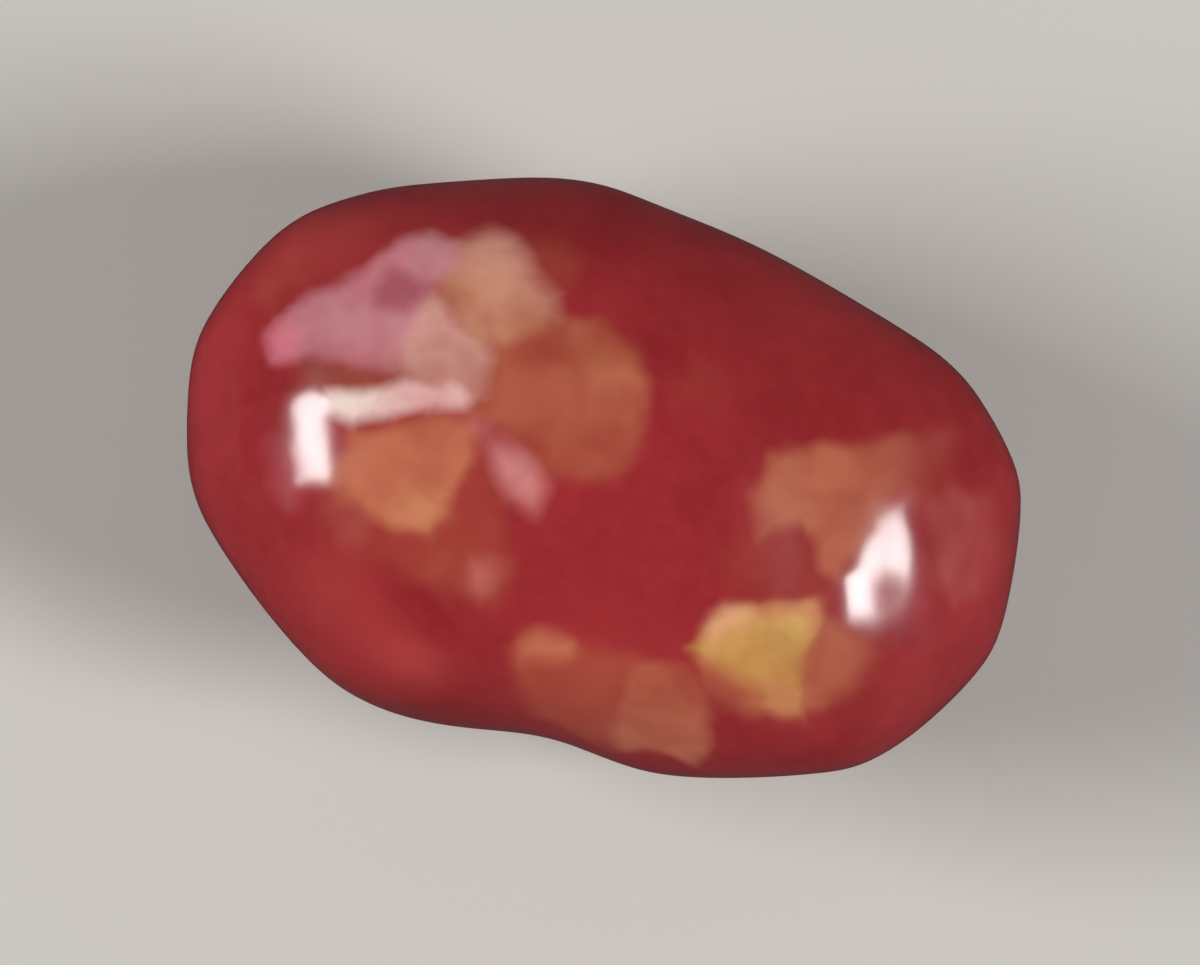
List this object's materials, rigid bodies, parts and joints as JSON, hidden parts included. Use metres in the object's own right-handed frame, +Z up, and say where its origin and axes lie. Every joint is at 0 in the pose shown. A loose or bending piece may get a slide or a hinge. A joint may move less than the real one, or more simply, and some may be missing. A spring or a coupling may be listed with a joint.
{
  "type": "jelly bean",
  "caption": "Kidney-shaped jelly bean with a glossy red candy shell flecked with amber and lilac flakes, lying on its broad side on a small flat spot.",
  "frame": {"origin": "bottom centre of the bounding box, on the plane of the small flat spot the bean rests on", "axes": "+X along the bean's length, +Y towards its rounded back, away from the hollow belly, +Z up"},
  "size_m": [0.016, 0.0106, 0.009],
  "materials": {
    "candy_shell": "glazed translucent red sugar shell with amber, gold and lilac flakes"
  },
  "bodies": {
    "root": {"jelly_bean": "candy_shell"}
  },
  "joints": []
}
